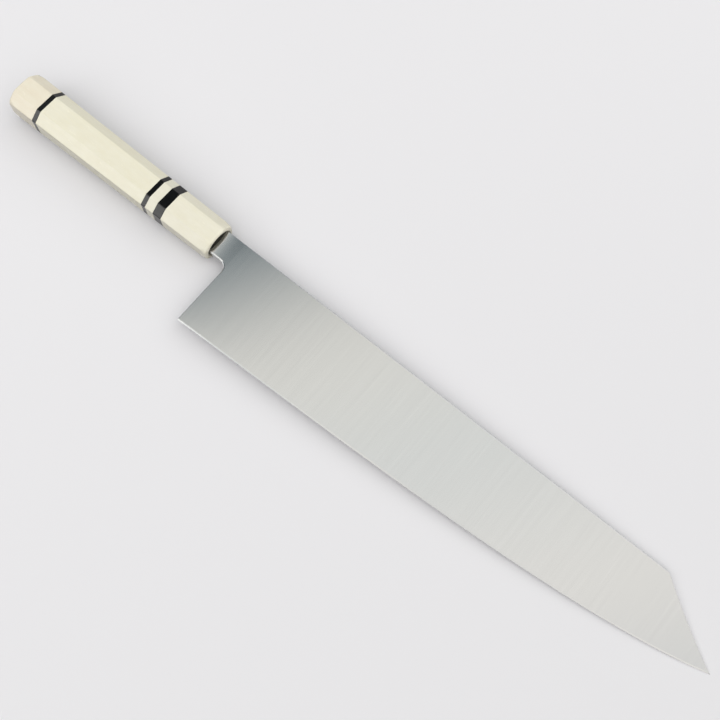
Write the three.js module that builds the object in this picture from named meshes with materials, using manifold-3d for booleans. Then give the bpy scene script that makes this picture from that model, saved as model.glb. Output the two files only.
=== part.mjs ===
// A clip-pointed gyuto knife with an octagonal handle, lying on its side.
// Millimetres. +X runs from the butt to the tip, +Y from the edge to the spine, +Z is up.
// The origin is on the surface the knife lies on, under the middle of its bounding box.
import * as THREE from 'three';
import { mergeVertices } from 'three/addons/utils/BufferGeometryUtils.js';
import Module from 'manifold-3d';

const wasm = await Module();
wasm.setup();

// Blade outline
const EDGE_LENGTH = 331.8; // straight from heel to tip
const HEEL_HEIGHT = 57.6; // spine to edge at the heel
const TIP_DROP = 28.8; // tip below the spine line
const CLIP_LENGTH = 43.2; // end of the spine to the tip, along the spine
const CLIP_HOLLOW = 1.1; // sag of the clip at its middle, across the spine
const CLIP_RADIUS = 3; // where the spine turns down to the tip
const EDGE_HEEL_ANGLE = 2.4; // edge against the spine at the heel, degrees
const EDGE_TIP_ANGLE = 16.3; // edge against the spine at the tip, degrees
const EDGE_HEEL_REACH = 110; // how far the heel direction pulls the edge curve
const EDGE_TIP_REACH = 78; // how far the tip direction pulls the edge curve
const NECK_HEIGHT = 16.2;
const NECK_LENGTH = 13.1; // ferrule front to the heel
const CHOIL_RADIUS = 6;

// Blade section
const SPINE_AT_HEEL = 4.2;
const SPINE_AT_CLIP = 1.9;
const BEVEL_HEIGHT = 0.8; // sharpened bevel, measured up from the edge
const BEVEL_THICKNESS = 0.4; // across the top of that bevel
const FACE_POWER = 0.92; // below 1, the ground faces are slightly convex

// Hidden tang
const TANG_LENGTH = 78; // back from the ferrule front
const TANG_HEIGHT = 8;
const TANG_THICKNESS = 2.8;
const TANG_END_HEIGHT = 5;
const TANG_END_THICKNESS = 2;
const NECK_INSET = 2.4; // how far the full neck enters the handle

// Handle, from the butt to the front
const CAP_LENGTH = 20.9;
const REAR_RING_LENGTH = 3;
const GRIP_LENGTH = 83.5;
const NARROW_RING_LENGTH = 3;
const SPACER_LENGTH = 6;
const WIDE_RING_LENGTH = 6;
const FERRULE_LENGTH = 34;
const BUTT_ROUND_DEPTH = 2.2; // rounding of the butt, along the handle
const BUTT_ROUND_REACH = 3.4; // the same, inwards from the facets
const FRONT_ROUND_DEPTH = 1.4; // rounding of the ferrule's front, along the handle
const FRONT_ROUND_REACH = 1.1; // the same, inwards from the facets
const WIDTH_FLARE = 3; // butt wider than the front
const THICKNESS_FLARE = 4.5; // butt thicker than the front
const BUTT_CORNER = 6.35; // slanting facet at the butt, measured across the width
const FRONT_CORNER = 5.5; // the same at the front
const CORNER_ANGLE = 36.5; // slope of the slanting facets, degrees

// Mouth of the ferrule and its seal
const SHOULDER_GAP = 0.9; // between the neck's shoulder and the dowel behind it
const SEAL_RECESS = 1.6; // seal's face behind the ferrule's front
const SEAL_CORNER_WALL = 0.1; // seal past the neck's corners, both upwards and sideways
const SEAL_FACE_WALL = 4.3; // seal beside the neck
const MOUTH_END_LIP = 1.92; // ferrule above and below the mouth
const MOUTH_FACE_LIP = 1.31; // ferrule beside the mouth or the dowel, whichever is thicker

// Dowels
const DOWEL_WALL = 0.9; // wood round the corners of the tang's slot
const DOWEL_END_WALL = 6; // wood behind the slot
const BUTT_DOWEL_DIAMETER = 8;
const BUTT_DOWEL_IN_CAP = 10;
const BUTT_DOWEL_IN_GRIP = 12;

// Clearances
const CLEARANCE = 0.25; // round the tang, neck, seal and dowels
const GLUE_LINE = 0.05; // between the end faces of the handle's pieces

// Smoothness of the curves
const ROUND_STEPS = 4;
const BORE_SIDES = 32;
const CHOIL_STEPS = 8;
const CLIP_STEPS = 4;
const SPINE_COLUMNS = 30;
const POINT_COLUMNS = 12;
const ROWS_BELOW_NECK = 5;
const ROWS_BESIDE_NECK = 3;
const HALVINGS = 40;

// Stations along the handle, from the butt
const rearRingStart = CAP_LENGTH;
const gripStart = rearRingStart + REAR_RING_LENGTH;
const narrowRingStart = gripStart + GRIP_LENGTH;
const spacerStart = narrowRingStart + NARROW_RING_LENGTH;
const wideRingStart = spacerStart + SPACER_LENGTH;
const ferruleStart = wideRingStart + WIDE_RING_LENGTH;
const frontX = ferruleStart + FERRULE_LENGTH;

// Sizes that follow from what passes through the handle
const slotHeight = TANG_HEIGHT + 2 * CLEARANCE;
const slotThickness = TANG_THICKNESS + 2 * CLEARANCE;
const dowelDiameter = Math.hypot(slotHeight, slotThickness) + 2 * DOWEL_WALL;
const boreDiameter = dowelDiameter + 2 * CLEARANCE;
const sealHoleHeight = NECK_HEIGHT + 2 * CLEARANCE;
const sealHoleThickness = SPINE_AT_HEEL + 2 * CLEARANCE;
const sealThickness = sealHoleThickness + 2 * SEAL_FACE_WALL;
const sealCornerHeight = sealHoleHeight + 2 * SEAL_CORNER_WALL;
const sealCornerThickness = sealHoleThickness + 2 * SEAL_CORNER_WALL;
const sealHeight = sealCornerHeight / Math.sqrt(1 - (sealCornerThickness / sealThickness) ** 2);
const mouthHeight = sealHeight + 2 * CLEARANCE;
const mouthThickness = sealThickness + 2 * CLEARANCE;
const mouthDepth = NECK_INSET + SHOULDER_GAP;
const frontWidth = mouthHeight + 2 * MOUTH_END_LIP;
const frontThickness = Math.max(mouthThickness, boreDiameter) + 2 * MOUTH_FACE_LIP;

// Places of the blade's corners
const spineY = NECK_HEIGHT / 2;
const neckY = -NECK_HEIGHT / 2;
const heelX = frontX + NECK_LENGTH;
const heelY = spineY - HEEL_HEIGHT;
const tipX = heelX + Math.sqrt(EDGE_LENGTH ** 2 - (HEEL_HEIGHT - TIP_DROP) ** 2);
const tipY = spineY - TIP_DROP;
const clipX = tipX - CLIP_LENGTH;
const clipAngle = Math.atan2(TIP_DROP + 4 * CLIP_HOLLOW, CLIP_LENGTH); // where the clip leaves the spine

const radians = THREE.MathUtils.degToRad;
const lerp = THREE.MathUtils.lerp;

// Turns a geometry's own X, Y and Z into the knife's Y, Z and X.
const acrossKnife = new THREE.Matrix4().makeBasis(
  new THREE.Vector3(0, 1, 0),
  new THREE.Vector3(0, 0, 1),
  new THREE.Vector3(1, 0, 0),
);

function toSolid(geometry) {
  const bare = geometry.clone();
  bare.deleteAttribute('normal');
  bare.deleteAttribute('uv');
  const merged = mergeVertices(bare);
  const vertProperties = new Float32Array(merged.attributes.position.array);
  const triVerts = new Uint32Array(merged.index.array);
  return new wasm.Manifold(new wasm.Mesh({ numProp: 3, vertProperties, triVerts }));
}

function toGeometry(solid) {
  const mesh = solid.getMesh();
  const geometry = new THREE.BufferGeometry();
  geometry.setAttribute('position', new THREE.BufferAttribute(mesh.vertProperties, 3));
  geometry.setIndex(new THREE.BufferAttribute(mesh.triVerts, 1));
  geometry.computeVertexNormals();
  return geometry;
}

// A closed skin over rings of points, each ring turning from +Y to +Z, in order along +X.
function loft(rings) {
  const sides = rings[0].length;
  const index = [];
  for (let ring = 0; ring < rings.length - 1; ring += 1) {
    for (let side = 0; side < sides; side += 1) {
      const a = ring * sides + side;
      const b = ring * sides + ((side + 1) % sides);
      index.push(a, b, b + sides, a, b + sides, a + sides);
    }
  }
  const last = (rings.length - 1) * sides;
  for (let side = 1; side < sides - 1; side += 1) {
    index.push(0, side + 1, side);
    index.push(last, last + side, last + side + 1);
  }
  const geometry = new THREE.BufferGeometry().setFromPoints(rings.flat());
  geometry.setIndex(index);
  return geometry;
}

// A round rod along +X.
function rod(startX, endX, diameter) {
  const length = endX - startX;
  const geometry = new THREE.CylinderGeometry(diameter / 2, diameter / 2, length, BORE_SIDES);
  geometry.rotateZ(-Math.PI / 2);
  return geometry.translate(startX + length / 2, 0, 0);
}

// An oval bar along +X, taller in Y than thick in Z.
function ovalBar(startX, endX, height, thickness) {
  const outline = new THREE.Shape();
  outline.absellipse(0, 0, height / 2, thickness / 2, 0, 2 * Math.PI, false, 0);
  const options = { depth: endX - startX, bevelEnabled: false, curveSegments: BORE_SIDES };
  const geometry = new THREE.ExtrudeGeometry(outline, options);
  return geometry.applyMatrix4(acrossKnife).translate(startX, 0, 0);
}

// A tapering bar along +X, square in section, centred on the handle's axis.
function taperedBar(startX, startHeight, startThickness, endX, endHeight, endThickness) {
  const ring = (x, height, thickness) => [
    new THREE.Vector3(x, height / 2, -thickness / 2),
    new THREE.Vector3(x, height / 2, thickness / 2),
    new THREE.Vector3(x, -height / 2, thickness / 2),
    new THREE.Vector3(x, -height / 2, -thickness / 2),
  ];
  return loft([ring(startX, startHeight, startThickness), ring(endX, endHeight, endThickness)]);
}

// Half the handle's thickness at a station.
function handleHalfThickness(x) {
  return lerp(frontThickness + THICKNESS_FLARE, frontThickness, x / frontX) / 2;
}

// The handle's octagon at a station, drawn in by an inset.
function octagon(x, inset) {
  const halfWidth = lerp(frontWidth + WIDTH_FLARE, frontWidth, x / frontX) / 2;
  const halfThickness = handleHalfThickness(x);
  const corner = lerp(BUTT_CORNER, FRONT_CORNER, x / frontX);
  const sine = Math.sin(radians(CORNER_ANGLE));
  const cosine = Math.cos(radians(CORNER_ANGLE));
  const slant = (halfWidth - corner) * sine + halfThickness * cosine - inset;
  const side = halfWidth - inset;
  const face = halfThickness - inset;
  const faceEnd = (slant - face * cosine) / sine;
  const sideEnd = (slant - side * sine) / cosine;
  const corners = [
    [side, -sideEnd],
    [side, sideEnd],
    [faceEnd, face],
    [-faceEnd, face],
    [-side, sideEnd],
    [-side, -sideEnd],
    [-faceEnd, -face],
    [faceEnd, -face],
  ];
  return corners.map(([y, z]) => new THREE.Vector3(x, y, z));
}

// Rings that round over an end of the handle, from the facets out to the end face.
function roundedEnd(endX, depth, reach) {
  const rings = [];
  for (let step = 0; step <= ROUND_STEPS; step += 1) {
    const angle = (step / ROUND_STEPS) * (Math.PI / 2);
    const x = endX - depth * (1 - Math.sin(angle));
    rings.push(octagon(x, reach * (1 - Math.cos(angle))));
  }
  return rings;
}

// A piece of the handle over its rings, with what passes through it cut away.
function handlePiece(rings, cuts) {
  let solid = toSolid(loft(rings));
  for (const cut of cuts) {
    solid = solid.subtract(toSolid(cut));
  }
  return toGeometry(solid);
}

// End rings of the glued pieces, half a glue line inside their stations.
const gluedStart = (x) => octagon(x + GLUE_LINE / 2, 0);
const gluedEnd = (x) => octagon(x - GLUE_LINE / 2, 0);

// Dowels and the bores they sit in
const mouthFloorX = frontX - mouthDepth;
const sealFaceX = frontX - SEAL_RECESS;
const tangEndX = frontX - TANG_LENGTH;
const slotEndX = tangEndX - CLEARANCE;
const dowelEndX = slotEndX - DOWEL_END_WALL;
const buttDowelStartX = rearRingStart - BUTT_DOWEL_IN_CAP;
const buttDowelEndX = gripStart + BUTT_DOWEL_IN_GRIP;
const buttBoreDiameter = BUTT_DOWEL_DIAMETER + 2 * CLEARANCE;

const tangBore = rod(dowelEndX - CLEARANCE, mouthFloorX + CLEARANCE, boreDiameter);
const buttBore = rod(buttDowelStartX - CLEARANCE, buttDowelEndX + CLEARANCE, buttBoreDiameter);
const mouth = ovalBar(mouthFloorX, frontX + mouthDepth, mouthHeight, mouthThickness);

function tangDowel() {
  const slotEndHeight = TANG_END_HEIGHT + 2 * CLEARANCE;
  const slotEndThickness = TANG_END_THICKNESS + 2 * CLEARANCE;
  const slot = taperedBar(slotEndX, slotEndHeight, slotEndThickness, frontX, slotHeight, slotThickness);
  const wood = toSolid(rod(dowelEndX, mouthFloorX, dowelDiameter));
  return toGeometry(wood.subtract(toSolid(slot)));
}

function mouthSeal() {
  const fill = toSolid(ovalBar(mouthFloorX + CLEARANCE, sealFaceX, sealHeight, sealThickness));
  const passage = taperedBar(
    mouthFloorX,
    sealHoleHeight,
    sealHoleThickness,
    frontX + mouthDepth,
    sealHoleHeight,
    sealHoleThickness,
  );
  return toGeometry(fill.subtract(toSolid(passage)));
}

// The cutting edge, from the heel to the tip
const edgeCurve = new THREE.CubicBezierCurve(
  new THREE.Vector2(heelX, heelY),
  new THREE.Vector2(
    heelX + EDGE_HEEL_REACH * Math.cos(radians(EDGE_HEEL_ANGLE)),
    heelY + EDGE_HEEL_REACH * Math.sin(radians(EDGE_HEEL_ANGLE)),
  ),
  new THREE.Vector2(
    tipX - EDGE_TIP_REACH * Math.cos(radians(EDGE_TIP_ANGLE)),
    tipY - EDGE_TIP_REACH * Math.sin(radians(EDGE_TIP_ANGLE)),
  ),
  new THREE.Vector2(tipX, tipY),
);

// Height of the edge at a station, found by halving.
function edgeHeight(x) {
  let low = 0;
  let high = 1;
  for (let step = 0; step < HALVINGS; step += 1) {
    const middle = (low + high) / 2;
    if (edgeCurve.getPoint(middle).x < x) low = middle;
    else high = middle;
  }
  return edgeCurve.getPoint(high).y;
}

// Half the blade's thickness at a point, growing from the edge to the spine.
function halfThickness(x, y, edgeY) {
  const rise = y - edgeY;
  if (rise <= BEVEL_HEIGHT) return (BEVEL_THICKNESS / 2) * (rise / BEVEL_HEIGHT);
  const along = Math.max(0, (x - heelX) / (clipX - heelX));
  const spine = lerp(SPINE_AT_HEEL, SPINE_AT_CLIP, along);
  const up = (rise - BEVEL_HEIGHT) / (spineY - edgeY - BEVEL_HEIGHT);
  return lerp(BEVEL_THICKNESS, spine, up ** FACE_POWER) / 2;
}

// Stations and top heights from the heel to the tip: spine, rounded corner, hollow clip.
function topLine() {
  const top = [];
  const tangent = CLIP_RADIUS * Math.tan(clipAngle / 2);
  const cornerX = clipX - tangent;
  for (let column = 0; column < SPINE_COLUMNS; column += 1) {
    top.push([lerp(heelX, cornerX, column / SPINE_COLUMNS), spineY]);
  }
  for (let step = 0; step <= CLIP_STEPS; step += 1) {
    const angle = (step / CLIP_STEPS) * clipAngle;
    const x = cornerX + CLIP_RADIUS * Math.sin(angle);
    top.push([x, spineY - CLIP_RADIUS * (1 - Math.cos(angle))]);
  }
  const [cornerEndX, cornerEndY] = top[top.length - 1];
  for (let column = 1; column <= POINT_COLUMNS; column += 1) {
    const share = column / POINT_COLUMNS;
    const hollow = 4 * CLIP_HOLLOW * share * (1 - share);
    top.push([lerp(cornerEndX, tipX, share), lerp(cornerEndY, tipY, share) - hollow]);
  }
  return top;
}

// The blade is a grid of columns. Each column lists its points from the lower border to the top.
// Columns of the neck hold only the upper rows, which carry on from the heel's column.
function bladeColumns() {
  const choilY = neckY - CHOIL_RADIUS;
  const splitShare = (choilY - heelY - BEVEL_HEIGHT) / (spineY - heelY - BEVEL_HEIGHT);
  const upperRows = (x, lowY, topY, edgeY) => {
    const points = [];
    for (let row = 0; row <= ROWS_BESIDE_NECK; row += 1) {
      const y = lerp(lowY, topY, row / ROWS_BESIDE_NECK);
      points.push(new THREE.Vector3(x, y, halfThickness(x, y, edgeY)));
    }
    return points;
  };
  const columns = [];
  const neckStations = [[frontX - NECK_INSET, neckY], [frontX, neckY]];
  for (let step = 0; step < CHOIL_STEPS; step += 1) {
    const angle = (step / CHOIL_STEPS) * (Math.PI / 2);
    const x = heelX - CHOIL_RADIUS * (1 - Math.sin(angle));
    neckStations.push([x, choilY + CHOIL_RADIUS * Math.cos(angle)]);
  }
  for (const [x, lowY] of neckStations) {
    columns.push(upperRows(x, lowY, spineY, heelY));
  }
  for (const [x, topY] of topLine()) {
    const edgeY = edgeHeight(x);
    const bevelY = edgeY + Math.min(BEVEL_HEIGHT, (topY - edgeY) / ROWS_BELOW_NECK);
    const splitY = lerp(bevelY, topY, splitShare);
    const points = [new THREE.Vector3(x, edgeY, 0)];
    for (let row = 0; row < ROWS_BELOW_NECK; row += 1) {
      const y = lerp(bevelY, splitY, row / ROWS_BELOW_NECK);
      points.push(new THREE.Vector3(x, y, halfThickness(x, y, edgeY)));
    }
    columns.push([...points, ...upperRows(x, splitY, topY, edgeY)]);
  }
  return columns;
}

function bladeGeometry() {
  const columns = bladeColumns();
  const corners = [];
  const below = (point) => new THREE.Vector3(point.x, point.y, -point.z);
  const triangle = (a, b, c) => {
    const flat = a.equals(b) || b.equals(c) || c.equals(a);
    if (!flat) corners.push(a, b, c);
  };
  const quad = (a, b, c, d) => {
    triangle(a, b, c);
    triangle(a, c, d);
  };
  const wall = (a, b) => quad(a, below(a), below(b), b);
  for (let column = 0; column < columns.length - 1; column += 1) {
    const left = columns[column];
    const right = columns[column + 1];
    const extra = right.length - left.length;
    for (let row = 0; row < left.length - 1; row += 1) {
      const [a, b, c, d] = [left[row], right[row + extra], right[row + extra + 1], left[row + 1]];
      quad(a, b, c, d);
      quad(below(a), below(d), below(c), below(b));
    }
    wall(right[right.length - 1], left[left.length - 1]);
    wall(left[0], right[extra]);
    for (let row = 0; row < extra; row += 1) {
      wall(right[row + 1], right[row]);
    }
  }
  const back = columns[0];
  for (let row = 0; row < back.length - 1; row += 1) {
    wall(back[row + 1], back[row]);
  }
  return new THREE.BufferGeometry().setFromPoints(corners);
}

function blade() {
  const tang = taperedBar(
    tangEndX,
    TANG_END_HEIGHT,
    TANG_END_THICKNESS,
    frontX,
    TANG_HEIGHT,
    TANG_THICKNESS,
  );
  return toGeometry(toSolid(bladeGeometry()).add(toSolid(tang)));
}

// Materials
const satinSteel = { color: 0xc4c7c7, roughness: 0.34, metalness: 1 };
const cream = { color: 0xebe6d0, roughness: 0.38, metalness: 0 };
const black = { color: 0x0b0b0c, roughness: 0.12, metalness: 0 };
const resin = { color: 0x1c1710, roughness: 0.55, metalness: 0 };
const wood = { color: 0xb98f5a, roughness: 0.75, metalness: 0 };

// The knife, butt at the local origin and tip along +X
const knife = new THREE.Group();

function place(name, look, geometry, startX) {
  const mesh = new THREE.Mesh(geometry.translate(-startX, 0, 0), new THREE.MeshStandardMaterial(look));
  mesh.name = name;
  mesh.position.x = startX;
  knife.add(mesh);
}

function placeRing(name, look, startX, length, bore) {
  const rings = [gluedStart(startX), gluedEnd(startX + length)];
  place(name, look, handlePiece(rings, [bore]), startX);
}

const capRings = [...roundedEnd(0, -BUTT_ROUND_DEPTH, BUTT_ROUND_REACH).reverse(), gluedEnd(rearRingStart)];
place('butt_cap', cream, handlePiece(capRings, [buttBore]), 0);
placeRing('rear_ring', black, rearRingStart, REAR_RING_LENGTH, buttBore);
const gripRings = [gluedStart(gripStart), gluedEnd(narrowRingStart)];
place('grip', cream, handlePiece(gripRings, [buttBore, tangBore]), gripStart);
placeRing('narrow_ring', black, narrowRingStart, NARROW_RING_LENGTH, tangBore);
placeRing('cream_spacer', cream, spacerStart, SPACER_LENGTH, tangBore);
placeRing('wide_ring', black, wideRingStart, WIDE_RING_LENGTH, tangBore);
const ferruleRings = [
  gluedStart(ferruleStart),
  ...roundedEnd(frontX, FRONT_ROUND_DEPTH, FRONT_ROUND_REACH),
];
place('front_ferrule', cream, handlePiece(ferruleRings, [tangBore, mouth]), ferruleStart);
place('mouth_seal', resin, mouthSeal(), mouthFloorX);
place('tang_dowel', wood, tangDowel(), dowelEndX);
place('butt_dowel', wood, rod(buttDowelStartX, buttDowelEndX, BUTT_DOWEL_DIAMETER), buttDowelStartX);
place('blade', satinSteel, blade(), heelX);

// Lying on its side, the knife touches down at the ferrule's lower front edge and near the tip,
// at the point of the blade that meets the surface first.
const touchX = frontX - FRONT_ROUND_DEPTH;
const touchZ = handleHalfThickness(touchX);
const slopes = bladeColumns().flat().map((point) => Math.atan2(touchZ - point.z, point.x - touchX));
knife.rotation.y = Math.min(...slopes);

const part = new THREE.Group();
part.add(knife);
const bounds = new THREE.Box3().setFromObject(part, true);
const middle = bounds.getCenter(new THREE.Vector3());
knife.position.set(-middle.x, -middle.y, -bounds.min.z);

export default part;
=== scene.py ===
"""Looks of the gyuto knife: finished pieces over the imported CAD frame, with floor, light and camera."""
import math

import bmesh
import bpy
import numpy as np
from mathutils import Matrix, Vector


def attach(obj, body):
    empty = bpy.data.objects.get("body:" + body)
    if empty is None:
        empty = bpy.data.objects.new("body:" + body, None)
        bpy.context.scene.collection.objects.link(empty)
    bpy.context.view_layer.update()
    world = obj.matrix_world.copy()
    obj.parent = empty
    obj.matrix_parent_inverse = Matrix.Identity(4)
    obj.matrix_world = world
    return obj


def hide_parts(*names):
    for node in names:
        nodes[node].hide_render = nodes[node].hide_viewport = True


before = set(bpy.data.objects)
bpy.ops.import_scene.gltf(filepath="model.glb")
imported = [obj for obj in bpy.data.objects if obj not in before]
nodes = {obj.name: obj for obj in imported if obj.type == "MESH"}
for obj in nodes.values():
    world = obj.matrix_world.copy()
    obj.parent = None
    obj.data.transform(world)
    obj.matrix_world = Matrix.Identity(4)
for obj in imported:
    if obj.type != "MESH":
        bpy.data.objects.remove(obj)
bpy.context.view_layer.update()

MM = 0.001
QUARTER_TURN = math.pi / 2
DECIMALS = 7  # points that agree to this many decimals of a metre are one point
TINY = 1e-9  # the least that anything is divided by

# Camera, in metres and degrees, with its lens and sensor in millimetres
CAMERA_PLACE = Vector((0.1284, -0.1223, 0.5092))
CAMERA_AIM = Vector((0.0112, 0.0164, 0.0))
CAMERA_ROLL = -1.0
CAMERA_LENS = 48.91
CAMERA_SENSOR = 36.0
CAMERA_NEAR = 0.01
CAMERA_FAR = 20.0

# Handle
FACET_SOFTNESS = 0.75 * MM  # radius along the edges between facets
BUTT_SOFTNESS = 5.1 * MM  # the same, where the butt is rounded off
FRONT_SOFTNESS = 4.0 * MM  # the same, where the ferrule's front is rounded off
SOFT_START = 0.95  # share of that softness where the rounding off begins
SOFT_LEAD = 4.0 * MM  # length over which the facet edges soften before it
BUTT_ROUND_DEPTH = 2.2 * MM
BUTT_ROUND_REACH = 3.2 * MM
BUTT_FULLNESS = 1.35  # above 1, the rounding starts gently and turns late
BUTT_CROWN = 1.8 * MM  # how far the butt's end face falls away from its middle to the corners
FRONT_ROUND_DEPTH = 1.4 * MM
FRONT_ROUND_REACH = 1.1 * MM
EDGE_BREAK = 0.06 * MM  # chamfer where two pieces meet
FACET_SUPPORT = 0.2 * MM  # keeps the facets flat right up to their softened edges
DOWEL_CLEARANCE = 0.25 * MM
HOLLOW_RADIUS = 7 * MM  # corners further out than this are on the handle's outside
ARC_STEPS = 6
FLAT_STEPS = 8
ROUND_STEPS = 10
LEAD_STEPS = 6
CROWN_STEPS = 5

# Seal in the ferrule's mouth
SEAL_CLEARANCE = 0.25 * MM
SEAL_DISH = 0.3 * MM  # how far its face sinks between the lip and the neck
SEAL_SIDES = 96

# Blade
COLUMN_GAP = 0.004 * MM  # points of the CAD blade closer than this lie in one column
NECK_INSET = 2.4 * MM
CHOIL_RADIUS = 6 * MM
CHOIL_SOFTNESS = 0.8 * MM  # rounding of the neck's underside
ARC_SOFTNESS = 1.4 * MM  # the same on the choil's arc, where it is fullest
HEEL_SOFTNESS = 0.15 * MM  # the same along the heel
ARC_FULLEST = 0.45  # share of the arc's turn where it is fullest
SPINE_SOFTNESS = 0.15 * MM
SOFT_SHARE = 0.75  # no rounding takes more than this share of the half thickness
NECK_FLARE = 0.23 * MM  # each side of the neck swells by this much towards the ferrule
FLARE_INSET = 0.6 * MM  # how far inside the ferrule that swelling ends
FLARE_POWER = 3.2
BEVEL_HEIGHT = 0.8 * MM
BEVEL_HALF = 0.2 * MM  # half the thickness across the top of the bevel
BEVEL_SHARE = 0.2  # at the tip, the bevel takes no more than this share of the height
FACE_POWER = 0.92  # below 1, the ground faces are slightly convex
TANG_AT_NECK = (7.9 * MM, 2.78 * MM)  # height and thickness where the neck steps down
TANG_AT_END = (5 * MM, 2 * MM)
NECK_COLUMNS = 8
CHOIL_STEPS = 18
SPINE_COLUMNS = 96
POINT_COLUMNS = 40
ROWS_BELOW_SPLIT = 12
ROWS_ABOVE_SPLIT = 16
ROW_CROWDING = 1.7  # above 1, those rows lie closer together beside the choil
SOFT_STEPS = (0, 0.04, 0.14, 0.3, 0.55, 1.0, 1.3)  # shares of a rounding where its rows lie
SOFT_ROOM = 4 * CHOIL_SOFTNESS  # in a column lower than this, those rows draw together
HAIRLINE_MAP = "along"  # UV layer that gives the direction of the blade's hairlines

SHARP_ANGLE = math.radians(35)  # edges that turn by more than this are shaded as sharp

# Tones of the materials, as display values from 0 to 255, in pairs that a pattern mixes
CAP_TONES = ((239, 232, 214), (234, 224, 203))
GRIP_TONES = ((239, 235, 217), (234, 229, 207))
SPACER_TONES = ((236, 233, 218), (231, 227, 209))
FERRULE_TONES = ((239, 235, 219), (234, 229, 209))
BLACK_TONES = ((10, 10, 11), (17, 17, 18))
# nearly black tones of the fill that makes the ferrule's mouth show dark
MOUTH_FILL_TONES = ((20, 17, 11), (44, 36, 24))
WOOD_TONES = ((196, 158, 104), (160, 120, 74))
STEEL_TONES = ((197, 197, 197), (200, 200, 200))
HAIRLINE_TONE = (192, 192, 193)
STREAK_SHADE = 0.93  # share of its light that the cream keeps in its streaks
NOISE_LOW = 0.3  # a noise lies mostly between these two values
NOISE_HIGH = 0.7

# Floor: a wide pale disc that curves up at its rim, so that no horizon shows, in metres
FLOOR_RADIUS = 1.6
RIM_RADIUS = 0.9
RIM_TURN = math.radians(75)
RIM_STEPS = 16
FLOOR_SIDES = 96
SEEN_FLOOR = (232, 231, 235)
BOUNCE_FLOOR = (105, 105, 105)

# Light: a dome, bright on one side and grey on the other with a dark strip between, and three softboxes
BRIGHT_SIDE = Vector((0.813, -0.444, 0.376))
DOME_STRENGTH = 1.3
# How far a direction faces the bright side, from -1 to 1, and the colour of the dome there
DOME_STOPS = (
    (-0.50, (0.46, 0.47, 0.47, 1)),
    (-0.22, (0.30, 0.32, 0.33, 1)),
    (-0.09, (0.05, 0.07, 0.08, 1)),
    (-0.04, (0.02, 0.035, 0.045, 1)),
    (0.00, (0.262, 0.323, 0.35, 1)),
    (0.045, (0.62, 0.635, 0.61, 1)),
    (0.085, (0.855, 0.845, 0.80, 1)),
    (0.13, (0.925, 0.915, 0.86, 1)),
    (0.25, (0.865, 0.885, 0.865, 1)),
    (0.41, (0.985, 0.965, 0.92, 1)),
    (0.50, (0.85, 0.85, 0.835, 1)),
    (0.70, (1.0, 0.98, 0.94, 1)),
)
# Name, place, aim, width, height and power
SOFTBOXES = (
    ("side_softbox", (-0.98, -0.67, 0.60), (-0.11, 0.01, 0.01), 1.22, 0.25, 2.4),
    ("far_softbox", (0.05, 1.05, 0.65), (-0.1, 0.01, 0.01), 0.9, 0.6, 1.6),
    ("edge_softbox", (-0.56, -0.27, 1.09), (-0.08, -0.03, 0.01), 0.25, 0.2, 0.25),
)


# The knife's own frame: X along the handle from the butt, Y to the spine, Z up out of the blade's side
def cad_points(node):
    """A node's CAD vertices in the row frame."""
    return np.array([vertex.co for vertex in nodes[node].data.vertices], float)


def middle_of(points):
    return (points.min(0) + points.max(0)) / 2


dowel_points = cad_points("butt_dowel")
dowel_middle = middle_of(dowel_points)
rear_middle = middle_of(dowel_points[dowel_points[:, 0] < dowel_middle[0]])
front_middle = middle_of(dowel_points[dowel_points[:, 0] > dowel_middle[0]])
along = Vector(front_middle - rear_middle).normalized()
across = Vector((0, 1, 0))
upward = along.cross(across)
butt_reach = ((cad_points("butt_cap") - rear_middle) @ np.array(along)).min()
knife_origin = Vector(rear_middle) + along * butt_reach
knife = Matrix.Translation(knife_origin) @ Matrix((along, across, upward)).transposed().to_4x4()
knife_inverse = np.array(knife.inverted())


def knife_points(node):
    """A node's CAD vertices in the knife's own frame."""
    return cad_points(node) @ knife_inverse[:3, :3].T + knife_inverse[:3, 3]


def span(node):
    """Where a node starts and ends along the handle."""
    stations = knife_points(node)[:, 0]
    return stations.min(), stations.max()


def radius_of(node):
    points = knife_points(node)
    return np.hypot(points[:, 1], points[:, 2]).max()


# Outlines across the handle, as rows of (y, z) that turn from +Y to +Z
def octagon_at(station):
    """The eight outer corners of the grip at one of its ends."""
    points = knife_points("grip")
    outside = np.hypot(points[:, 1], points[:, 2]) > HOLLOW_RADIUS
    here = np.abs(points[:, 0] - station) < EDGE_BREAK
    corners = np.unique(points[outside & here][:, 1:].round(DECIMALS), axis=0)
    return corners[np.argsort(np.arctan2(corners[:, 1], corners[:, 0]))]


grip_start, grip_end = span("grip")
rear_octagon = octagon_at(grip_start)
front_octagon = octagon_at(grip_end)


def facet_directions(corners):
    edges = np.roll(corners, -1, axis=0) - corners
    return edges / np.linalg.norm(edges, axis=1)[:, None]


def outward_normals(corners):
    directions = facet_directions(corners)
    return np.stack([directions[:, 1], -directions[:, 0]], axis=1)


def drawn_in(corners, inset):
    """A convex outline with each side moved inwards."""
    normals = outward_normals(corners)
    offsets = (normals * corners).sum(1) - inset
    moved = []
    for side in range(len(corners)):
        pair = normals[[side - 1, side]]
        moved.append(np.linalg.solve(pair, offsets[[side - 1, side]]))
    return np.array(moved)


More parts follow.
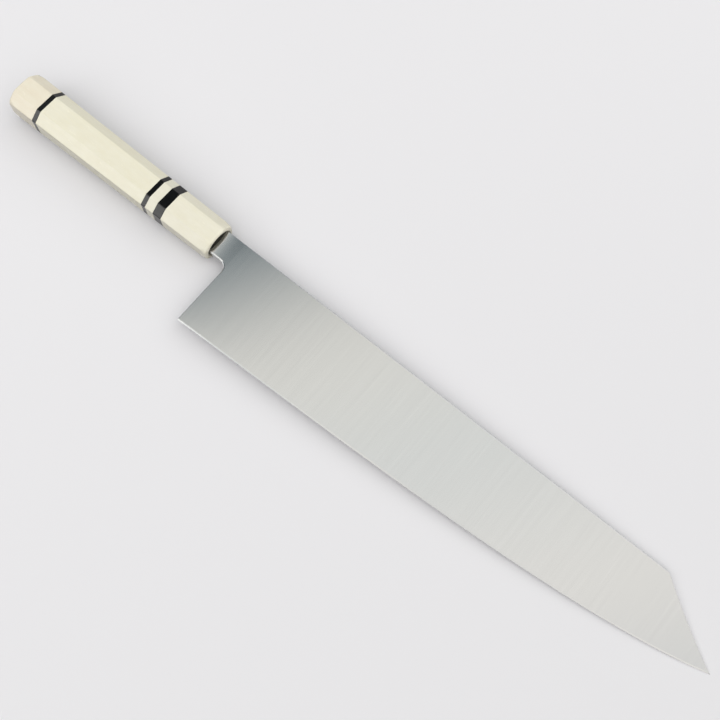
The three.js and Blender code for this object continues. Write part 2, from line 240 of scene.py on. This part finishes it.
def softened(corners, radius):
    """A convex outline with round corners, and support points on the flats beside them."""
    normals = outward_normals(corners)
    directions = facet_directions(corners)
    centres = drawn_in(corners, radius)
    points = []
    for side in range(len(corners)):
        start = math.atan2(normals[side - 1][1], normals[side - 1][0])
        turn = math.atan2(normals[side][1], normals[side][0]) - start
        turn %= 2 * math.pi
        arc = []
        for step in range(ARC_STEPS + 1):
            angle = start + turn * step / ARC_STEPS
            arc.append(centres[side] + radius * np.array([math.cos(angle), math.sin(angle)]))
        points.append(arc[0] - FACET_SUPPORT * directions[side - 1])
        points.extend(arc)
        points.append(arc[-1] + FACET_SUPPORT * directions[side])
    return np.array(points)


def divided(outline):
    """A softened octagon with points added along its flats, for the bore inside it to follow."""
    corners = outline.reshape(len(rear_octagon), -1, 2)
    shares = np.linspace(0, 1, FLAT_STEPS + 1)[1:-1, None]
    parts = []
    for corner, after in zip(corners, np.roll(corners, -1, axis=0)):
        parts.append(corner)
        parts.append(corner[-1] + (after[0] - corner[-1]) * shares)
    return np.concatenate(parts)


def section(station, inset=0.0, softness=FACET_SOFTNESS):
    """The handle's softened octagon at a station, as points in the knife's frame."""
    share = (station - grip_start) / (grip_end - grip_start)
    corners = rear_octagon + (front_octagon - rear_octagon) * share
    outline = divided(softened(drawn_in(corners, inset), softness))
    return np.column_stack([np.full(len(outline), station), outline])


def circle_in(ring, station, radius):
    """A bore's circle at a station, each point in line with one of the ring's."""
    outline = ring[:, 1:] / np.linalg.norm(ring[:, 1:], axis=1)[:, None] * radius
    return np.column_stack([np.full(len(outline), station), outline])


def oval_reach(angle, half_height, half_width):
    """Distance from the axis to an oval outline, in one direction."""
    return 1 / math.hypot(math.cos(angle) / half_height, math.sin(angle) / half_width)


def oval_in(ring, station, half_height, half_width):
    """An oval outline at a station, each point in line with one of the ring's."""
    points = []
    for _, y, z in ring:
        angle = math.atan2(z, y)
        reach = oval_reach(angle, half_height, half_width)
        points.append((station, reach * math.cos(angle), reach * math.sin(angle)))
    return np.array(points)


# Outline of the blade, read off the columns of its CAD mesh
ferrule_front = span("front_ferrule")[1]
neck_start = ferrule_front - NECK_INSET
blade_points = knife_points("blade")
body_points = blade_points[blade_points[:, 0] > neck_start - EDGE_BREAK]
body_points = body_points[body_points[:, 0].argsort()]
breaks = np.nonzero(np.diff(body_points[:, 0]) > COLUMN_GAP)[0] + 1
columns = np.split(body_points, breaks)
column_x = np.array([column[:, 0].mean() for column in columns])
column_low = np.array([column[:, 1].min() for column in columns])
column_top = np.array([column[:, 1].max() for column in columns])
column_half = np.array([column[:, 2].max() for column in columns])
heel_x = column_x[column_low.argmin()]
tip_x = column_x[-1]
edge_y = column_low.min()
spine_y = column_top.max()
neck_y = column_low[0]
choil_y = neck_y - CHOIL_RADIUS
flare_start = ferrule_front - FLARE_INSET
clip_x = column_x[column_top > spine_y - EDGE_BREAK].max()
neck_half_height = spine_y
neck_half_thickness = column_half[0]


def edge_at(x):
    """Height of the cutting edge; behind the heel, the height that the grind refers to."""
    on_edge = column_x >= heel_x
    return np.interp(x, column_x[on_edge], column_low[on_edge])


def top_at(x):
    return np.interp(x, column_x, column_top)


def bevel_height(height):
    """Height of the sharpened bevel, in a column of the blade of a given height."""
    return min(BEVEL_HEIGHT, height * BEVEL_SHARE)


# Meshes
def finish_piece(node, builder, material):
    """Makes the finished object and puts it in place of its CAD node, smooth but for its sharp edges."""
    bmesh.ops.recalc_face_normals(builder, faces=builder.faces)
    for mesh_face in builder.faces:
        mesh_face.smooth = True
    for edge in builder.edges:
        if len(edge.link_faces) == 2 and edge.calc_face_angle() > SHARP_ANGLE:
            edge.smooth = False
    name = node + "_finished"
    mesh = bpy.data.meshes.new(name)
    builder.to_mesh(mesh)
    builder.free()
    mesh.transform(knife)
    mesh.materials.append(material)
    piece = bpy.data.objects.new(name, mesh)
    bpy.context.scene.collection.objects.link(piece)
    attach(piece, "root")
    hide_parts(node)


def skin(rings, closed):
    """A skin over rings of points: a closed loop of rings, or a row with both ends capped."""
    builder = bmesh.new()
    loops = [[builder.verts.new(point) for point in ring] for ring in rings]
    pairs = list(zip(loops, loops[1:]))
    if closed:
        pairs.append((loops[-1], loops[0]))
    else:
        builder.faces.new(loops[0])
        builder.faces.new(loops[-1])
    for first, second in pairs:
        for side in range(len(first)):
            after = (side + 1) % len(first)
            builder.faces.new((first[side], first[after], second[after], second[side]))
    return builder


def broken_start(station):
    return [section(station, EDGE_BREAK), section(station + EDGE_BREAK)]


def broken_end(station):
    return [section(station - EDGE_BREAK), section(station, EDGE_BREAK)]


def eased(share):
    """A share from 0 to 1, made to start and end gently."""
    return share ** 2 * (3 - 2 * share)


def crowned(ring, crown):
    """Moves a ring's points along the handle, the more the further they lie from its axis."""
    spread = np.linalg.norm(ring[:, 1:], axis=1) / np.linalg.norm(rear_octagon, axis=1).max()
    return ring + np.outer(crown * spread ** 2, (1, 0, 0))


def rounded_off(station, depth, reach, softness, fullness=1.0, crown=0.0):
    """Sections from the facets out to a rounded end. A negative depth rounds the butt's end."""
    rings = []
    lead = math.copysign(SOFT_LEAD, depth)
    first_soft = softness * SOFT_START
    for step in range(LEAD_STEPS):
        share = step / LEAD_STEPS
        soft = FACET_SOFTNESS + (first_soft - FACET_SOFTNESS) * eased(share)
        rings.append(section(station - depth - lead * (1 - share), 0.0, soft))
    for step in range(ROUND_STEPS + 1):
        angle = step / ROUND_STEPS * QUARTER_TURN
        here = station - depth * (1 - math.sin(angle)) ** fullness
        soft = first_soft + (softness - first_soft) * math.sin(angle)
        ring = section(here, reach * (1 - math.cos(angle)), soft)
        rings.append(crowned(ring, crown * math.sin(angle)))
    return rings


# Pieces of the handle
butt_bore = radius_of("butt_dowel") + DOWEL_CLEARANCE
tang_bore = radius_of("tang_dowel") + DOWEL_CLEARANCE
butt_bore_start = span("butt_dowel")[0] - DOWEL_CLEARANCE
butt_bore_end = span("butt_dowel")[1] + DOWEL_CLEARANCE
tang_bore_start = span("tang_dowel")[0] - DOWEL_CLEARANCE


def make_ring(node, material, bore):
    start, end = span(node)
    outside = broken_start(start) + broken_end(end)
    inside = [circle_in(outside[-1], end, bore), circle_in(outside[0], start, bore)]
    finish_piece(node, skin(outside + inside, True), material)


def make_butt_cap(material):
    end = span("butt_cap")[1]
    shape = (BUTT_ROUND_REACH, BUTT_SOFTNESS, BUTT_FULLNESS, BUTT_CROWN)
    outside = rounded_off(0.0, -BUTT_ROUND_DEPTH, *shape)[::-1]
    face = []
    for step in range(1, CROWN_STEPS + 1):
        shrunk = outside[0] * (0, 1, 1) * (1 - step / (CROWN_STEPS + 1))
        face.append(crowned(shrunk, BUTT_CROWN))
    outside = face[::-1] + outside + broken_end(end)
    inside = [circle_in(outside[-1], station, butt_bore) for station in (end, butt_bore_start)]
    finish_piece("butt_cap", skin(outside + inside, False), material)


def make_grip(material):
    outside = broken_start(grip_start) + broken_end(grip_end)
    rear = [circle_in(outside[0], station, butt_bore) for station in (butt_bore_end, grip_start)]
    front = [circle_in(outside[-1], station, tang_bore) for station in (grip_end, tang_bore_start)]
    finish_piece("grip", skin(rear + outside + front, False), material)


def make_ferrule(material):
    start, end = span("front_ferrule")
    seal = knife_points("mouth_seal")
    half_height = seal[:, 1].max() + SEAL_CLEARANCE
    half_width = seal[:, 2].max() + SEAL_CLEARANCE
    mouth_floor = seal[:, 0].min() - SEAL_CLEARANCE
    outside = broken_start(start)
    outside += rounded_off(end, FRONT_ROUND_DEPTH, FRONT_ROUND_REACH, FRONT_SOFTNESS)
    ring = outside[-1]
    mouth = [oval_in(ring, station, half_height, half_width) for station in (end, mouth_floor)]
    bore = [circle_in(ring, station, tang_bore) for station in (mouth_floor, start)]
    finish_piece("front_ferrule", skin(outside + mouth + bore, True), material)


def make_seal(material):
    points = knife_points("mouth_seal")
    start, end = points[:, 0].min(), points[:, 0].max()
    half_height, half_width = points[:, 1].max(), points[:, 2].max()
    passage = np.array([neck_half_height, neck_half_thickness]) + SEAL_CLEARANCE
    outer, inner = [], []
    for side in range(SEAL_SIDES):
        angle = 2 * math.pi * side / SEAL_SIDES
        direction = np.array([math.cos(angle), math.sin(angle)])
        outer.append(direction * oval_reach(angle, half_height, half_width))
        inner.append(direction * (passage / np.maximum(np.abs(direction), TINY)).min())
    outer, inner = np.array(outer), np.array(inner)

    def ring(station, share):
        outline = outer + (inner - outer) * share
        return np.column_stack([np.full(SEAL_SIDES, station), outline])

    face = []
    for step in range(ROUND_STEPS + 1):
        share = step / ROUND_STEPS
        face.append(ring(end - SEAL_DISH * math.sin(math.pi * share), share))
    rings = [ring(start, 0)] + face + [ring(start, 1)]
    finish_piece("mouth_seal", skin(rings, True), material)


# Blade
def rounding(distance, radius):
    """How much a rounded edge takes off the half thickness, at a distance from the outline."""
    if radius <= 0 or distance >= radius:
        return 0.0
    return radius - math.sqrt(max(0.0, radius ** 2 - (radius - distance) ** 2))


def choil_distance(x, y):
    """Distance from the neck's underside, the choil's arc and the heel's upright line."""
    centre_x = heel_x - CHOIL_RADIUS
    if y <= choil_y:
        return x - heel_x
    if x <= centre_x:
        return y - neck_y
    return math.hypot(x - centre_x, y - choil_y) - CHOIL_RADIUS


def choil_softness(x, y):
    """Radius of the rounding there, from the neck's underside round the arc to the heel."""
    turn = math.atan2(x - heel_x + CHOIL_RADIUS, y - choil_y) / QUARTER_TURN
    return np.interp(turn, (0.0, ARC_FULLEST, 1.0), (CHOIL_SOFTNESS, ARC_SOFTNESS, HEEL_SOFTNESS))


def half_thickness(x, y):
    """Half the blade's thickness: ground faces, sharpened bevel, rounded spine and choil."""
    edge = edge_at(x)
    top = top_at(x)
    rise = y - edge
    height = max(top - edge, TINY)
    bevel = bevel_height(height)
    if rise <= bevel:
        ground = BEVEL_HALF * rise / BEVEL_HEIGHT
    else:
        top_half = np.interp(x, column_x, column_half)
        low_half = BEVEL_HALF * bevel / BEVEL_HEIGHT
        up = min(1.0, (rise - bevel) / (height - bevel))
        ground = low_half + (top_half - low_half) * up ** FACE_POWER
    behind = min(1.0, max(0.0, (heel_x - x) / (heel_x - flare_start)))
    ground += NECK_FLARE * behind ** FLARE_POWER
    spine_soft = min(SPINE_SOFTNESS, SOFT_SHARE * ground)
    choil_soft = min(choil_softness(x, y), SOFT_SHARE * ground)
    ground -= rounding(top - y, spine_soft)
    ground -= rounding(choil_distance(x, y), choil_soft)
    return max(ground, 0.0)


def rows_up(low, top):
    """Heights from the neck's line to the top, close together beside both roundings."""
    fit = min(1.0, (top - low) / SOFT_ROOM)
    lower = [low + share * CHOIL_SOFTNESS * fit for share in SOFT_STEPS]
    upper = [top - share * SPINE_SOFTNESS * fit for share in reversed(SOFT_STEPS)]
    steps = np.linspace(0, 1, ROWS_ABOVE_SPLIT + 1)[1:-1] ** ROW_CROWDING
    return lower + list(lower[-1] + (upper[0] - lower[-1]) * steps) + upper


def blade_columns():
    """Columns of heights. Those of the neck hold only the rows above the neck's line."""
    neck = [(neck_start, neck_y)]
    for x in np.linspace(flare_start, heel_x - CHOIL_RADIUS, NECK_COLUMNS + 1)[:-1]:
        neck.append((x, neck_y))
    for step in range(CHOIL_STEPS):
        angle = step / CHOIL_STEPS * QUARTER_TURN
        x = heel_x - CHOIL_RADIUS * (1 - math.sin(angle))
        neck.append((x, choil_y + CHOIL_RADIUS * math.cos(angle)))
    grid = [(x, rows_up(low, spine_y)) for x, low in neck]
    heel = [heel_x + share * CHOIL_SOFTNESS for share in SOFT_STEPS]
    spine = np.linspace(heel[-1], clip_x, SPINE_COLUMNS + 1)[1:]
    point = np.linspace(clip_x, tip_x, POINT_COLUMNS + 1)[1:]
    split_share = (choil_y - edge_y - BEVEL_HEIGHT) / (spine_y - edge_y - BEVEL_HEIGHT)
    for x in [*heel, *spine, *point]:
        edge, top = edge_at(x), top_at(x)
        bevel = edge + bevel_height(top - edge)
        split = bevel + (top - bevel) * split_share
        lower = list(np.linspace(bevel, split, ROWS_BELOW_SPLIT + 1)[:-1])
        grid.append((x, [edge] + lower + rows_up(split, top)))
    return grid


def cover_columns(upper, lower, add_face):
    """Faces over both sides of the blade, and between them along its outline."""
    for above, above_after, below, below_after in zip(upper, upper[1:], lower, lower[1:]):
        extra = len(above_after) - len(above)
        for row in range(len(above) - 1):
            for left, right in ((above, above_after), (below, below_after)):
                add_face(left[row], right[row + extra], right[row + extra + 1], left[row + 1])
        for row, after in ((0, extra), (-1, -1)):
            add_face(above[row], above_after[after], below_after[after], below[row])
        for row in range(extra):
            add_face(above_after[row], above_after[row + 1], below_after[row + 1], below_after[row])


def add_tang(neck_loop, vertex, add_face):
    """The tang, which carries on from the neck's end."""
    loops = [neck_loop]
    tang_end = blade_points[:, 0].min()
    for x, (height, thickness) in ((neck_start, TANG_AT_NECK), (tang_end, TANG_AT_END)):
        wide = height / (2 * neck_half_height)
        thick = thickness / (2 * neck_half_thickness)
        loops.append([vertex(x, point.co.y * wide, point.co.z * thick) for point in neck_loop])
    for first, second in zip(loops, loops[1:]):
        for side in range(len(first)):
            add_face(first[side - 1], first[side], second[side], second[side - 1])
    add_face(*loops[-1])


def crease_bevel(builder, upper, lower):
    """Keeps the line along the top of the sharpened bevel crisp."""
    first = next(index for index, column in enumerate(upper) if len(column) > len(upper[0]))
    for side in (upper, lower):
        for left, right in zip(side[first:-1], side[first + 1:]):
            crease = builder.edges.get((left[1], right[1])) if left[1] != right[1] else None
            if crease is not None:
                crease.smooth = False


def make_blade(material):
    builder = bmesh.new()
    known = {}

    def vertex(x, y, z):
        key = (round(x, DECIMALS), round(y, DECIMALS), round(z, DECIMALS))
        if key not in known:
            known[key] = builder.verts.new((x, y, z))
        return known[key]

    def add_face(*corners):
        unlike = list(dict.fromkeys(corners))
        if len(unlike) > 2 and builder.faces.get(unlike) is None:
            builder.faces.new(unlike)

    upper, lower = [], []
    for x, heights in blade_columns():
        halves = [half_thickness(x, y) for y in heights]
        upper.append([vertex(x, y, z) for y, z in zip(heights, halves)])
        lower.append([vertex(x, y, -z) for y, z in zip(heights, halves)])
    cover_columns(upper, lower, add_face)
    add_tang(upper[0] + lower[0][::-1], vertex, add_face)
    crease_bevel(builder, upper, lower)
    layer = builder.loops.layers.uv.new(HAIRLINE_MAP)
    for mesh_face in builder.faces:
        for corner in mesh_face.loops:
            corner[layer].uv = (corner.vert.co.x, corner.vert.co.y)
    finish_piece("blade", builder, material)


# Materials
def linear(srgb):
    """A colour given as 0 to 255 display values, as a linear RGBA, by the sRGB formula."""
    channels = []
    for value in srgb:
        share = value / 255
        channels.append(share / 12.92 if share <= 0.04045 else ((share + 0.055) / 1.055) ** 2.4)
    return (*channels, 1.0)


def new_material(name):
    material = bpy.data.materials.new(name)
    material.use_nodes = True
    tree = material.node_tree
    return material, tree, tree.nodes["Principled BSDF"]


def pattern(tree, scale, detail, roughness):
    """A noise texture stretched by a scale along each axis of the part, in features per metre."""
    place = tree.nodes.new("ShaderNodeTexCoord")
    mapping = tree.nodes.new("ShaderNodeMapping")
    mapping.inputs["Scale"].default_value = scale
    noise = tree.nodes.new("ShaderNodeTexNoise")
    noise.inputs["Scale"].default_value = 1.0
    noise.inputs["Detail"].default_value = detail
    noise.inputs["Roughness"].default_value = roughness
    tree.links.new(place.outputs["Object"], mapping.inputs["Vector"])
    tree.links.new(mapping.outputs["Vector"], noise.inputs["Vector"])
    return noise.outputs["Fac"]


def between(tree, value, low, high):
    """Spreads the middle of a noise over a range of numbers."""
    spread = tree.nodes.new("ShaderNodeMapRange")
    spread.inputs["From Min"].default_value = NOISE_LOW
    spread.inputs["From Max"].default_value = NOISE_HIGH
    spread.inputs["To Min"].default_value = low
    spread.inputs["To Max"].default_value = high
    tree.links.new(value, spread.inputs["Value"])
    return spread.outputs["Result"]


def blended(tree, factor, first, second):
    """A mix of two colours, each a constant or another node's output."""
    mix = tree.nodes.new("ShaderNodeMix")
    mix.data_type = "RGBA"
    tree.links.new(factor, mix.inputs["Factor"])
    for socket, colour in (("A", first), ("B", second)):
        target = next(item for item in mix.inputs if item.name == socket and item.type == "RGBA")
        if isinstance(colour, tuple):
            target.default_value = colour
        else:
            tree.links.new(colour, target)
    return next(item for item in mix.outputs if item.type == "RGBA")


def raised(tree, shader, height, distance, strength):
    """Bumps the surface by a pattern."""
    bump = tree.nodes.new("ShaderNodeBump")
    bump.inputs["Strength"].default_value = strength
    bump.inputs["Distance"].default_value = distance
    tree.links.new(height, bump.inputs["Height"])
    tree.links.new(bump.outputs["Normal"], shader.inputs["Normal"])


def cream_material(name, tones):
    """Ivory-like: soft clouds, faint streaks along the handle, fine pores."""
    material, tree, shader = new_material(name)
    pale, warm = map(linear, tones)
    clouds = between(tree, pattern(tree, (110, 260, 260), detail=4, roughness=0.55), 0.0, 1.0)
    streaks = between(tree, pattern(tree, (24, 900, 900), detail=3, roughness=0.5), 0.0, 0.45)
    tone = blended(tree, clouds, pale, warm)
    shade = tuple(channel * STREAK_SHADE for channel in pale[:3]) + (1.0,)
    tree.links.new(blended(tree, streaks, tone, shade), shader.inputs["Base Color"])
    gloss = between(tree, pattern(tree, (300, 700, 700), detail=3, roughness=0.6), 0.2, 0.28)
    tree.links.new(gloss, shader.inputs["Roughness"])
    pores = pattern(tree, (600, 2200, 2200), detail=4, roughness=0.6)
    raised(tree, shader, pores, distance=0.03 * MM, strength=0.25)
    shader.inputs["IOR"].default_value = 1.48
    return material


def black_material():
    """Polished black, with the faint clouding that buffing leaves."""
    material, tree, shader = new_material("polished_black")
    clouds = between(tree, pattern(tree, (400, 400, 400), detail=4, roughness=0.6), 0.0, 1.0)
    tone = blended(tree, clouds, *map(linear, BLACK_TONES))
    tree.links.new(tone, shader.inputs["Base Color"])
    gloss = between(tree, pattern(tree, (900, 900, 900), detail=3, roughness=0.6), 0.09, 0.16)
    tree.links.new(gloss, shader.inputs["Roughness"])
    shader.inputs["IOR"].default_value = 1.42
    return material


def mouth_fill_material():
    """Dull, nearly black fill that makes the ferrule's mouth show dark, a little browner in patches."""
    material, tree, shader = new_material("dark_fill")
    patches = between(tree, pattern(tree, (500, 500, 500), detail=4, roughness=0.6), 0.0, 1.0)
    tone = blended(tree, patches, *map(linear, MOUTH_FILL_TONES))
    tree.links.new(tone, shader.inputs["Base Color"])
    gloss = between(tree, patches, 0.5, 0.7)
    tree.links.new(gloss, shader.inputs["Roughness"])
    grain = pattern(tree, (1800, 1800, 1800), detail=4, roughness=0.6)
    raised(tree, shader, grain, distance=0.1 * MM, strength=0.4)
    return material


def wood_material():
    """Raw pale wood with grain along the dowel."""
    material, tree, shader = new_material("raw_wood")
    grain = between(tree, pattern(tree, (25, 700, 700), detail=5, roughness=0.6), 0.0, 1.0)
    tone = blended(tree, grain, *map(linear, WOOD_TONES))
    tree.links.new(tone, shader.inputs["Base Color"])
    rough = between(tree, grain, 0.65, 0.8)
    tree.links.new(rough, shader.inputs["Roughness"])
    raised(tree, shader, grain, distance=0.05 * MM, strength=0.5)
    return material


def steel_material():
    """Satin steel: hairlines from spine to edge, finer and coarser."""
    material, tree, shader = new_material("satin_steel")
    coarse = between(tree, pattern(tree, (420, 14, 14), detail=3, roughness=0.55), 0.0, 1.0)
    fine = between(tree, pattern(tree, (3600, 40, 40), detail=2, roughness=0.5), 0.0, 0.3)
    tone = blended(tree, coarse, *map(linear, STEEL_TONES))
    tree.links.new(blended(tree, fine, tone, linear(HAIRLINE_TONE)), shader.inputs["Base Color"])
    rough = between(tree, pattern(tree, (900, 20, 20), detail=3, roughness=0.6), 0.125, 0.14)
    tree.links.new(rough, shader.inputs["Roughness"])
    tangent = tree.nodes.new("ShaderNodeTangent")
    tangent.direction_type = "UV_MAP"
    tangent.uv_map = HAIRLINE_MAP
    tree.links.new(tangent.outputs["Tangent"], shader.inputs["Tangent"])
    shader.inputs["Metallic"].default_value = 1.0
    shader.inputs["Anisotropic"].default_value = 0.3
    scratches = pattern(tree, (3000, 30, 30), detail=3, roughness=0.5)
    raised(tree, shader, scratches, distance=0.0006 * MM, strength=0.3)
    return material


def floor_material():
    """Pale where it is seen, directly or in a reflection, with a lesser bounce of light."""
    material, tree, seen = new_material("pale_floor")
    bounce = tree.nodes.new("ShaderNodeBsdfPrincipled")
    for shader, tone in ((seen, SEEN_FLOOR), (bounce, BOUNCE_FLOOR)):
        shader.inputs["Base Color"].default_value = linear(tone)
        shader.inputs["Roughness"].default_value = 0.9
        shader.inputs["Specular IOR Level"].default_value = 0.1
    path = tree.nodes.new("ShaderNodeLightPath")
    sharp = tree.nodes.new("ShaderNodeMath")
    sharp.operation = "ADD"
    tree.links.new(path.outputs["Is Glossy Ray"], sharp.inputs[0])
    tree.links.new(path.outputs["Is Transmission Ray"], sharp.inputs[1])
    looks = tree.nodes.new("ShaderNodeMath")
    looks.operation = "ADD"
    looks.use_clamp = True
    tree.links.new(path.outputs["Is Camera Ray"], looks.inputs[0])
    tree.links.new(sharp.outputs["Value"], looks.inputs[1])
    mix = tree.nodes.new("ShaderNodeMixShader")
    tree.links.new(looks.outputs["Value"], mix.inputs["Fac"])
    tree.links.new(bounce.outputs["BSDF"], mix.inputs[1])
    tree.links.new(seen.outputs["BSDF"], mix.inputs[2])
    tree.links.new(mix.outputs["Shader"], tree.nodes["Material Output"].inputs["Surface"])
    return material


# Stage
def make_floor():
    builder = bmesh.new()
    profile = [(FLOOR_RADIUS, 0.0)]
    for step in range(1, RIM_STEPS + 1):
        angle = RIM_TURN * step / RIM_STEPS
        radius = FLOOR_RADIUS + RIM_RADIUS * math.sin(angle)
        profile.append((radius, RIM_RADIUS * (1 - math.cos(angle))))
    turns = [2 * math.pi * side / FLOOR_SIDES for side in range(FLOOR_SIDES)]
    loops = []
    for radius, height in profile:
        places = [(radius * math.cos(turn), radius * math.sin(turn), height) for turn in turns]
        loops.append([builder.verts.new(place) for place in places])
    builder.faces.new(loops[0])
    for inner, outer in zip(loops, loops[1:]):
        for side in range(FLOOR_SIDES):
            after = (side + 1) % FLOOR_SIDES
            builder.faces.new((inner[side], outer[side], outer[after], inner[after]))
    mesh = bpy.data.meshes.new("floor")
    builder.to_mesh(mesh)
    builder.free()
    mesh.shade_smooth()
    mesh.materials.append(floor_material())
    floor = bpy.data.objects.new("floor", mesh)
    bpy.context.scene.collection.objects.link(floor)


def make_dome():
    world = bpy.data.worlds.new("dome")
    bpy.context.scene.world = world
    world.use_nodes = True
    tree = world.node_tree
    place = tree.nodes.new("ShaderNodeTexCoord")
    facing = tree.nodes.new("ShaderNodeVectorMath")
    facing.operation = "DOT_PRODUCT"
    facing.inputs[1].default_value = BRIGHT_SIDE.normalized()
    shift = tree.nodes.new("ShaderNodeMapRange")
    shift.inputs["From Min"].default_value = -1.0
    shift.inputs["From Max"].default_value = 1.0
    ramp = tree.nodes.new("ShaderNodeValToRGB")
    # New stops start in the middle of the ramp, and then each gets its own place
    while len(ramp.color_ramp.elements) < len(DOME_STOPS):
        ramp.color_ramp.elements.new(0.5)
    for element, (position, colour) in zip(ramp.color_ramp.elements, DOME_STOPS, strict=True):
        element.position = (position + 1) / 2
        element.color = colour
    background = tree.nodes["Background"]
    background.inputs["Strength"].default_value = DOME_STRENGTH
    tree.links.new(place.outputs["Generated"], facing.inputs[0])
    tree.links.new(facing.outputs["Value"], shift.inputs["Value"])
    tree.links.new(shift.outputs["Result"], ramp.inputs["Fac"])
    tree.links.new(ramp.outputs["Color"], background.inputs["Color"])


def make_softbox(name, place, aim, width, height, power):
    light = bpy.data.lights.new(name, "AREA")
    light.shape = "RECTANGLE"
    light.size = width
    light.size_y = height
    light.energy = power
    lamp = bpy.data.objects.new(name, light)
    lamp.location = place
    lamp.rotation_mode = "QUATERNION"
    lamp.rotation_quaternion = (Vector(aim) - Vector(place)).to_track_quat("-Z", "Y")
    lamp.visible_camera = False
    bpy.context.scene.collection.objects.link(lamp)


def make_camera():
    data = bpy.data.cameras.new("camera")
    data.sensor_width = CAMERA_SENSOR
    data.lens = CAMERA_LENS
    data.clip_start = CAMERA_NEAR
    data.clip_end = CAMERA_FAR
    camera = bpy.data.objects.new("camera", data)
    camera.location = CAMERA_PLACE
    camera.rotation_mode = "QUATERNION"
    level = (CAMERA_AIM - CAMERA_PLACE).to_track_quat("-Z", "Y")
    roll = Matrix.Rotation(math.radians(CAMERA_ROLL), 3, "Z").to_quaternion()
    camera.rotation_quaternion = level @ roll
    bpy.context.scene.collection.objects.link(camera)
    bpy.context.scene.camera = camera


# The knife, from the butt to the tip
black = black_material()
make_butt_cap(cream_material("cream_cap", CAP_TONES))
make_ring("rear_ring", black, butt_bore)
make_grip(cream_material("cream_grip", GRIP_TONES))
make_ring("narrow_ring", black, tang_bore)
make_ring("cream_spacer", cream_material("cream_spacer", SPACER_TONES), tang_bore)
make_ring("wide_ring", black, tang_bore)
make_ferrule(cream_material("cream_ferrule", FERRULE_TONES))
make_seal(mouth_fill_material())
make_blade(steel_material())

# The dowels are hidden inside the handle, so they keep their CAD shape
wood = wood_material()
for dowel in ("tang_dowel", "butt_dowel"):
    nodes[dowel].data.materials.clear()
    nodes[dowel].data.materials.append(wood)

# Floor, light and camera
make_floor()
make_dome()
for softbox in SOFTBOXES:
    make_softbox(*softbox)
make_camera()
bpy.context.scene.view_settings.view_transform = "Standard"
